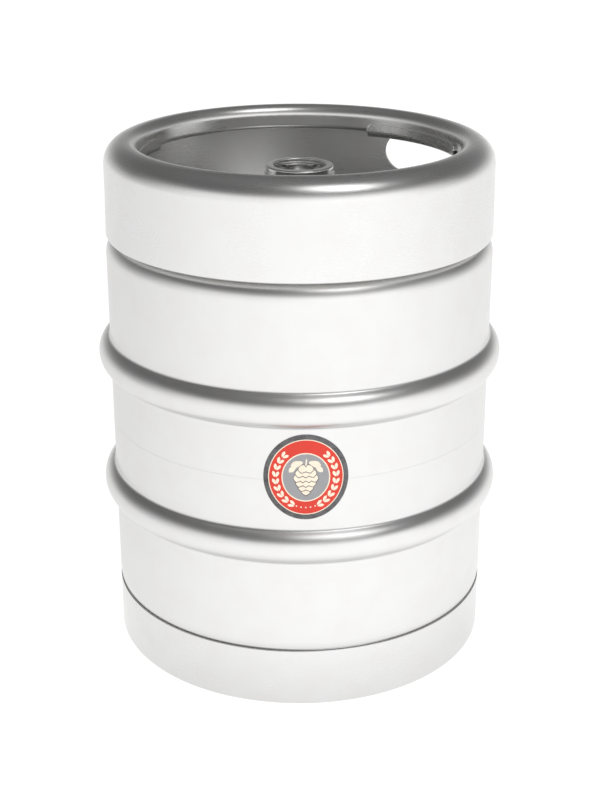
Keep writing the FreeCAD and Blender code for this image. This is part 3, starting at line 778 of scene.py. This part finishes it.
# ------------------------------------------------------------------ bottom chime
bc = Path(BR, SEAM_B).line(BR, FOOT_R).arc((BR - FOOT_R, FOOT_R), FOOT_R, 0, -90).line(FOOT_IN, 0).arc((FOOT_IN, FOOT_C), FOOT_C, -90, -180).line(FOOT_IN - FOOT_C, FOOT_TOP)
lathe("bottom_chime", sheet_loop(bc, CT, -1, 4.0, 5.0, edge=0.5), [M_CHIME], 384, node="lower_chime", angle=50)

# ------------------------------------------------------------------ neck
nb = [(LOWBORE, NECK_BOT), (LOWBORE, LEDGE), (NECK_BORE, LEDGE), (NECK_BORE, 499.6), (28.3, 499.6), (28.3, 501.4), (NECK_BORE, 501.4), (NECK_BORE, NECK_TOP),
      (NECK_R, NECK_TOP), (NECK_R, 497.6), (NECK_FL, 497.0), (NECK_FL, 490.5), (COLLAR_R - ST - 0.05, 489.6), (COLLAR_R - ST - 0.05, NECK_BOT + 1.0), (COLLAR_R - ST - 1.05, NECK_BOT)]
rd = [0.3, 0.3, 0.3, 0.15, 0.15, 0.15, 0.15, 1.1, 2.0, 0.8, 0.7, 0.8, 0.3, 0.3, 0.3]
lathe("neck_ring", support(round_poly(nb, rd, 6), 1.2, 0.2, 3.0), [M_TURNED], 192, node="neck_boss", angle=50)
lathe("neck_gasket", round_poly([(LOWBORE + 0.3, LEDGE), (26.2, LEDGE), (26.2, 488.0), (LOWBORE + 0.3, 488.0)], 0.5, 4), [M_RUBBER], 128, node="neck_seal", angle=50)

# ------------------------------------------------------------------ extractor
hs = [(15.5, 488.0), (15.5, 491.0), (24.6, 491.0), (24.6, 499.5), (26.2, 499.5), (26.2, 488.0), (22.0, 488.0), (22.0, 478.0), (20.8, 478.0), (20.8, 488.0)]
lathe("extractor_body", support(round_poly(hs, [0.3, 0.8, 0.5, 0.35, 0.35, 0.3, 0.3, 0.0, 0.0, 0.3], 4), 1.2, 0.2, 3.0), [M_TURNED], 192, node="extractor_housing", angle=50)


def arc_block(name, loop, a0, a1, mat, segs, node=None, slot=None, body="keg", ends=0.35):
    """part of a turned ring with softened ends"""
    cr = sum(p[0] for p in loop) / len(loop)
    cz = sum(p[1] for p in loop) / len(loop)
    bm = bmesh.new()
    cuts = []
    tot = a1 - a0
    de = math.degrees(ends / cr)
    for q in range(4):
        w = math.radians(90 * q / 3)
        cuts.append((a0 + de * (1 - math.sin(w)) if False else a0 + de * (1 - math.cos(w)), q))
    angs = [(a0 + de * (1 - math.cos(math.radians(90 * q / 3))), ends * (1 - math.sin(math.radians(90 * q / 3)))) for q in range(4)]
    angs += [(a0 + de + (tot - 2 * de) * i / segs, 0.0) for i in range(1, segs)]
    angs += [(a1 - de * (1 - math.cos(math.radians(90 * q / 3))), ends * (1 - math.sin(math.radians(90 * q / 3)))) for q in range(3, -1, -1)]
    rows = []
    for a, shrink in angs:
        row = []
        for r, z in loop:
            d = math.hypot(r - cr, z - cz)
            k_ = 1 - min(shrink, d * 0.4) / max(d, 1e-6)
            rr, zz = cr + (r - cr) * k_, cz + (z - cz) * k_
            row.append(bm.verts.new((rr * MM * math.cos(math.radians(a)), rr * MM * math.sin(math.radians(a)), zz * MM)))
        rows.append(row)
    m = len(loop)
    for A, B in zip(rows, rows[1:]):
        for j in range(m):
            bm.faces.new([A[j], B[j], B[(j + 1) % m], A[(j + 1) % m]])
    bm.faces.new(rows[0][::-1])
    bm.faces.new(rows[-1])
    return finish_mesh(bm, name, [mat], node=node, slot=slot, body=body, angle=50)


lug = round_poly([(21.2, 496.0), (24.75, 496.0), (24.75, 499.5), (21.2, 499.5)], 0.6, 4)
for i, c in enumerate((90.0, 270.0)):
    arc_block("bayonet_lug_%d" % (i + 1), lug, c - 38.0, c + 38.0, M_TURNED, 40, slot="extractor_housing")
cage_mid = round_poly([(20.8, 451.0), (22.0, 451.0), (22.0, 479.0), (20.8, 479.0)], 0.3, 3)
for i in range(3):
    c = 90 + 120 * i
    arc_block("cage_post_%d" % (i + 1), cage_mid, c - 34.0, c + 34.0, M_PRESSED, 24, slot="extractor_housing", ends=0.3)
lathe("cage_foot", support(round_poly([(20.8, 441.0), (22.0, 441.0), (22.0, 452.0), (20.8, 452.0)], 0.3, 3), 1.5, 0.2, 4.0), [M_PRESSED], 128, slot="extractor_housing", angle=50)
arc_block("lock_ring", round_poly([(24.9, 499.7), (28.05, 499.7), (28.05, 501.2), (24.9, 501.2)], 0.35, 4), 277.0, 623.0, M_WIRE, 160, node="retaining_ring", ends=0.5)

# ------------------------------------------------------------------ valve parts
gs = [(8.5, 486.0), (16.8, 486.0), (16.8, 487.7), (15.8, 487.95), (14.3, 487.95), (13.7, 487.4), (9.9, 487.4), (8.5, 486.6)]
lathe("gas_valve_rubber", round_poly(gs, 0.3, 4), [M_RUBBER], 128, node="gas_valve_seal", body="spear", angle=50)
cup = [(12.5, 486.0), (12.5, 461.0), (8.0, 461.0), (8.0, 460.0), (13.5, 460.0), (13.5, 484.8), (17.8, 484.8), (17.8, 487.5), (16.8, 487.5), (16.8, 486.0)]
lathe("valve_cup_shell", support(round_poly(cup, [0.2, 0.8, 0.2, 0.2, 1.5, 0.6, 0.4, 0.3, 0.2, 0.2], 4), 1.5, 0.2, 4.0), [M_PRESSED], 128, node="valve_cup", body="spear", angle=50)


def coil(name, mean_r, wire, z0, z1, turns, body, node, ring=14):
    """closed and ground spring: the end turns lie flat"""
    bm = bmesh.new()
    z0w, z1w = z0 + wire, z1 - wire
    n = int(turns * 48)
    rows = []
    for i in range(n + 1):
        u = i / n
        a = 2 * math.pi * turns * u
        # pitch eased at the ends
        e_ = 0.75 / turns
        if u < e_:
            f = 0.35 * (u / e_) ** 2 * e_
        elif u > 1 - e_:
            f = 1 - 0.35 * ((1 - u) / e_) ** 2 * e_
        else:
            f = 0.35 * e_ + (u - e_) / (1 - 2 * e_) * (1 - 0.7 * e_)
        z = z0w + (z1w - z0w) * f
        c = Vector((mean_r * math.cos(a), mean_r * math.sin(a), z))
        rad = Vector((math.cos(a), math.sin(a), 0))
        rr = wire * (1.0 if 2 < i < n - 2 else (0.72 if i in (0, n) else 0.92))
        row = []
        for q in range(ring):
            w = 2 * math.pi * q / ring
            p = c + rad * rr * math.cos(w) + Vector((0, 0, 1)) * rr * math.sin(w)
            row.append(bm.verts.new(p * MM))
        rows.append(row)
    for A, B in zip(rows, rows[1:]):
        for q in range(ring):
            bm.faces.new([A[q], A[(q + 1) % ring], B[(q + 1) % ring], B[q]])
    bm.faces.new(rows[0])
    bm.faces.new(rows[-1])
    return finish_mesh(bm, name, [M_WIRE], node=node, body=body, angle=60)


lo_, hi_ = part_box("main_spring")
sp = coil("valve_spring", 16.0, 1.1, lo_.z / MM, hi_.z / MM, 6, "keg", "main_spring")
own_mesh(sp)
lo_, hi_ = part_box("ball_spring")
sp = coil("ball_return_spring", 8.3, 0.55, lo_.z / MM, hi_.z / MM, 4, "spear", "ball_spring", 12)
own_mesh(sp)

# ------------------------------------------------------------------ label
LX, LZ, LA, LB = LABEL
LR = BR + 0.21


def on_wall(u, v, lift=0.0):
    x = LX + u
    rr = LR + lift
    return (x * MM, -math.sqrt(rr ** 2 - x ** 2) * MM, (LZ + v) * MM)


bm = bmesh.new()
rings = [0.0, 0.12, 0.24, 0.36, 0.48, 0.60, 0.70, 0.78, 0.83, 0.865, 0.885, 0.92, 0.96, 0.99, 1.0]
N = 144
rows = []
for rho in rings[1:]:
    rows.append([bm.verts.new(on_wall(LA * rho * math.cos(2 * math.pi * i / N), LB * rho * math.sin(2 * math.pi * i / N))) for i in range(N)])
back = [bm.verts.new(on_wall(LA * math.cos(2 * math.pi * i / N), LB * math.sin(2 * math.pi * i / N), -0.2)) for i in range(N)]
cv = bm.verts.new(on_wall(0, 0))
for i in range(N):
    bm.faces.new([cv, rows[0][i], rows[0][(i + 1) % N]]).material_index = 0
for j in range(len(rows) - 1):
    mid = (rings[j + 1] + rings[j + 2]) / 2
    mi = 0 if mid < 0.865 else (1 if mid < 0.885 else 2)
    for i in range(N):
        bm.faces.new([rows[j][i], rows[j + 1][i], rows[j + 1][(i + 1) % N], rows[j][(i + 1) % N]]).material_index = mi
for i in range(N):
    bm.faces.new([rows[-1][i], back[i], back[(i + 1) % N], rows[-1][(i + 1) % N]]).material_index = 2
me_ob = finish_mesh(bm, "round_label", [M_RED, M_CREAM, M_CHAR], node="label", angle=60)


def decal(name, polys, mat, lift):
    """flat ink shapes laid on the label; each is a closed outline in label millimetres"""
    bm = bmesh.new()
    for poly in polys:
        cu = sum(p[0] for p in poly) / len(poly)
        cv_ = sum(p[1] for p in poly) / len(poly)
        c = bm.verts.new(on_wall(cu, cv_, lift))
        prev_ring = [c] * len(poly)
        for s in (0.34, 0.67, 1.0):
            ring = [bm.verts.new(on_wall(cu + (u - cu) * s, cv_ + (v - cv_) * s, lift)) for u, v in poly]
            for i in range(len(poly)):
                i2 = (i + 1) % len(poly)
                if s == 0.34:
                    bm.faces.new([c, ring[i], ring[i2]])
                else:
                    bm.faces.new([prev_ring[i], ring[i], ring[i2], prev_ring[i2]])
            prev_ring = ring
    bmesh.ops.recalc_face_normals(bm, faces=bm.faces)
    ob = finish_mesh(bm, name, [mat], slot="label", angle=60)
    # faces look outwards
    if ob.data.polygons[0].normal.y > 0:
        ob.data.flip_normals()
    return ob


def ring_strip(name, r0, r1, mat, lift, a0=0.0, a1=360.0):
    bm = bmesh.new()
    n = 144
    A = [bm.verts.new(on_wall(LA * r0 * math.cos(math.radians(a0 + (a1 - a0) * i / n)), LB * r0 * math.sin(math.radians(a0 + (a1 - a0) * i / n)), lift)) for i in range(n + 1)]
    B = [bm.verts.new(on_wall(LA * r1 * math.cos(math.radians(a0 + (a1 - a0) * i / n)), LB * r1 * math.sin(math.radians(a0 + (a1 - a0) * i / n)), lift)) for i in range(n + 1)]
    for i in range(n):
        bm.faces.new([A[i], A[i + 1], B[i + 1], B[i]])
    ob = finish_mesh(bm, name, [mat], slot="label", angle=60, merge=1e-7)
    if ob.data.polygons[0].normal.dot(Vector((0, -1, 0))) < 0:
        ob.data.flip_normals()
    return ob


def bract(cx, cy, w, hh, tilt=0.0):
    """one scale of a hop cone: a pointed leaf hanging down"""
    out = []
    for i in range(24):
        t = i / 24 * 2 * math.pi
        x = math.sin(t) * w * (1 - 0.28 * math.cos(t)) * 0.5
        y = math.cos(t) * hh * 0.5
        if y < 0:
            x *= (1 - (abs(y) / (hh * 0.5)) ** 3 * 0.85)
        c_, s_ = math.cos(tilt), math.sin(tilt)
        out.append((cx + x * c_ - y * s_, cy + x * s_ + y * c_))
    return out


bm = bmesh.new()
field = [0.02, 0.11, 0.20, 0.29, 0.38, 0.46, 0.545]
rows = [[bm.verts.new(on_wall(LA * q * math.cos(2 * math.pi * i / N), LB * q * math.sin(2 * math.pi * i / N), 0.05)) for i in range(N)] for q in field]
for A, B in zip(rows, rows[1:]):
    for i in range(N):
        bm.faces.new([A[i], B[i], B[(i + 1) % N], A[(i + 1) % N]])
bm.faces.new(rows[0])
ob = finish_mesh(bm, "label_inner_field", [M_GREY], slot="label", angle=60)
if ob.data.polygons[0].normal.y > 0:
    ob.data.flip_normals()
ring_strip("label_inner_ring", 0.545, 0.572, M_CREAM, 0.05)

# hop cone: rows of overlapping scales, the lower rows laid first
cone = [(-14.2, 1, 0.0, 7.6, 8.8), (-9.8, 2, 6.2, 7.6, 9.2), (-5.2, 3, 11.2, 7.4, 9.4), (-0.4, 4, 15.6, 7.0, 9.4), (4.4, 3, 11.8, 7.4, 9.0), (8.6, 2, 6.4, 7.4, 8.2)]
for q, (y0, n, width, w_, h_) in enumerate(cone):
    out_, in_ = [], []
    for i in range(n):
        fx = 0.0 if n == 1 else (i / (n - 1) - 0.5)
        out_.append(bract(fx * width, y0, w_ + 1.3, h_ + 1.5, fx * 0.55))
        in_.append(bract(fx * width, y0 + 0.1, w_, h_, fx * 0.55))
    decal("hop_edge_%d" % (q + 1), out_, M_CHAR, 0.055 + q * 0.012)
    decal("hop_scale_%d" % (q + 1), in_, M_CREAM, 0.061 + q * 0.012)
decal("hop_stem", [[(-0.7, 12.0), (0.7, 12.0), (1.3, 18.5), (0.1, 18.8)]], M_CREAM, 0.14)
leafs = []
for sgn in (-1, 1):
    for dx, dy, w_, h_, tl in ((8.6, 13.6, 6.4, 12.0, 1.25), (12.6, 8.6, 5.0, 9.6, 0.75)):
        leafs.append(bract(sgn * dx, dy, w_, h_, sgn * tl))
decal("hop_leaves", leafs, M_CREAM, 0.054)
grains = []
for sgn in (-1, 1):
    for i in range(9):
        a = math.radians(-62 + i * 13.5)
        for rad_, tw in ((0.675, 0.35), (0.755, -0.35)):
            cx, cy = sgn * LA * rad_ * math.cos(a), LB * rad_ * math.sin(a)
            tl = sgn * (a + tw) if sgn > 0 else -(a + tw)
            grains.append(bract(cx, cy, 2.9, 6.4, math.pi + tl))
decal("barley_grains", grains, M_CREAM, 0.05)
dots = []
for i in range(5):
    a = math.radians(270 + (i - 2) * 9.0)
    dots.append([(LA * 0.715 * math.cos(a) + 0.75 * math.cos(t * math.pi / 8), LB * 0.715 * math.sin(a) + 0.75 * math.sin(t * math.pi / 8)) for t in range(16)])
decal("label_dots", dots, M_CREAM, 0.05)

# ------------------------------------------------------------------ CAD nodes that stay
keep = {"down_tube": M_TUBE, "beer_ball": M_BALL, "spring_retainer": M_PRESSED}
for n, m in keep.items():
    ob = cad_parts[n]
    ob.data.materials.clear()
    ob.data.materials.append(m)
    for p in ob.data.polygons:
        p.material_index = 0

# ------------------------------------------------------------------ floor, world and light
bm = bmesh.new()
bmesh.ops.create_grid(bm, x_segments=8, y_segments=8, size=14.0)
me = bpy.data.meshes.new("floor")
bm.to_mesh(me)
bm.free()
floor = bpy.data.objects.new("floor", me)
COL.objects.link(floor)
fm, nt, b = mat_new("floor_white")
tcn = nd(nt, "ShaderNodeTexCoord")
fn = noise_tex(nt, tcn.outputs["Object"], 3.0, 2.0, 0.5)
nt.links.new(ramp(nt, fn, [(0.3, (0.055, 0.055, 0.055)), (0.7, (0.065, 0.065, 0.065))]), b.inputs["Base Color"])
b.inputs["Roughness"].default_value = 0.9
b.inputs["Specular IOR Level"].default_value = 0.0
b.inputs["Emission Color"].default_value = (1, 1, 1, 1)
sepf = nd(nt, "ShaderNodeSeparateXYZ")
nt.links.new(tcn.outputs["Object"], sepf.inputs[0])
rad = math_(nt, "SQRT", math_(nt, "ADD", math_(nt, "MULTIPLY", sepf.outputs[0], sepf.outputs[0]), math_(nt, "MULTIPLY", sepf.outputs[1], sepf.outputs[1])))
# painted light: the floor's glow is strengthened towards the front right and weakened towards the back left, a painted
# falloff of light across the floor that the metal walls reflect
along = math_(nt, "ADD", math_(nt, "MULTIPLY", sepf.outputs[0], 0.342), math_(nt, "MULTIPLY", sepf.outputs[1], -0.940))
painted_light_side_cos = math_(nt, "DIVIDE", along, math_(nt, "MAXIMUM", rad, 0.05))
# painted shadow: within 0.18 to 0.34 m of the axis the glow is cut by up to a quarter, mostly on the front side, a
# painted contact shadow round the keg's foot
near = maprange(nt, rad, 0.18, 0.34, 0.25, 0.0)
near = math_(nt, "SUBTRACT", 1.0, math_(nt, "MULTIPLY", near, maprange(nt, painted_light_side_cos, -0.6, 0.6, 0.0, 1.0)))
floor_glow_painted_light_shade = math_(nt, "MULTIPLY", math_(nt, "ADD", math_(nt, "MULTIPLY", painted_light_side_cos, 0.25), 1.27), near)
nt.links.new(floor_glow_painted_light_shade, b.inputs["Emission Strength"])
me.materials.append(fm)

w = bpy.data.worlds.new("studio")
bpy.context.scene.world = w
w.use_nodes = True
nt = w.node_tree
nt.nodes.clear()
out = nd(nt, "ShaderNodeOutputWorld")
bg = nd(nt, "ShaderNodeBackground")
nt.links.new(bg.outputs[0], out.inputs[0])
tcn = nd(nt, "ShaderNodeTexCoord")
nrm = nd(nt, "ShaderNodeVectorMath", operation="NORMALIZE")
nt.links.new(tcn.outputs["Generated"], nrm.inputs[0])
sep = nd(nt, "ShaderNodeSeparateXYZ")
nt.links.new(nrm.outputs[0], sep.inputs[0])
# elevation ramps (sine of the elevation): bright low front, dark and even above and behind
front = ramp(nt, sep.outputs[2], [(0.0, 1.0), (0.24, 1.0), (0.36, 0.78), (0.48, 0.32), (0.60, 0.14), (0.84, 0.12), (1.0, 0.15)])
rear = ramp(nt, sep.outputs[2], [(0.0, 0.66), (0.08, 0.55), (0.28, 0.18), (0.60, 0.12), (1.0, 0.16)])
facing = maprange(nt, sep.outputs[1], -0.55, 0.35, 1.0, 0.0)
sky = math_(nt, "ADD", math_(nt, "MULTIPLY", front, facing), math_(nt, "MULTIPLY", rear, math_(nt, "SUBTRACT", 1.0, facing)))
# the left side falls off a little
side = maprange(nt, sep.outputs[0], -1.0, 0.25, 0.80, 1.0)
sky = math_(nt, "MULTIPLY", sky, side)


def patch(direction, inner, outer_, power):
    d = Vector(direction).normalized()
    dot = nd(nt, "ShaderNodeVectorMath", operation="DOT_PRODUCT")
    nt.links.new(nrm.outputs[0], dot.inputs[0])
    dot.inputs[1].default_value = d
    mr = nd(nt, "ShaderNodeMapRange", interpolation_type="SMOOTHSTEP")
    mr.inputs[1].default_value = math.cos(math.radians(outer_))
    mr.inputs[2].default_value = math.cos(math.radians(inner))
    mr.inputs[3].default_value = 0.0
    mr.inputs[4].default_value = power
    nt.links.new(dot.outputs["Value"], mr.inputs[0])
    return mr.outputs[0]


key = patch((0.29, -0.35, 0.885), 9.0, 19.0, 1.8)
soft = patch((math.sin(math.radians(26)) * math.cos(math.radians(8)), -math.cos(math.radians(26)) * math.cos(math.radians(8)), math.sin(math.radians(8))), 14.0, 50.0, 0.1)
key = math_(nt, "ADD", key, soft)
tot = math_(nt, "ADD", sky, key)
comb = nd(nt, "ShaderNodeCombineColor")
for i in range(3):
    nt.links.new(tot, comb.inputs[i])
nt.links.new(comb.outputs[0], bg.inputs[0])
bg.inputs[1].default_value = 1.5

sc = bpy.context.scene
sc.view_settings.view_transform = "Standard"
sc.view_settings.look = "None"
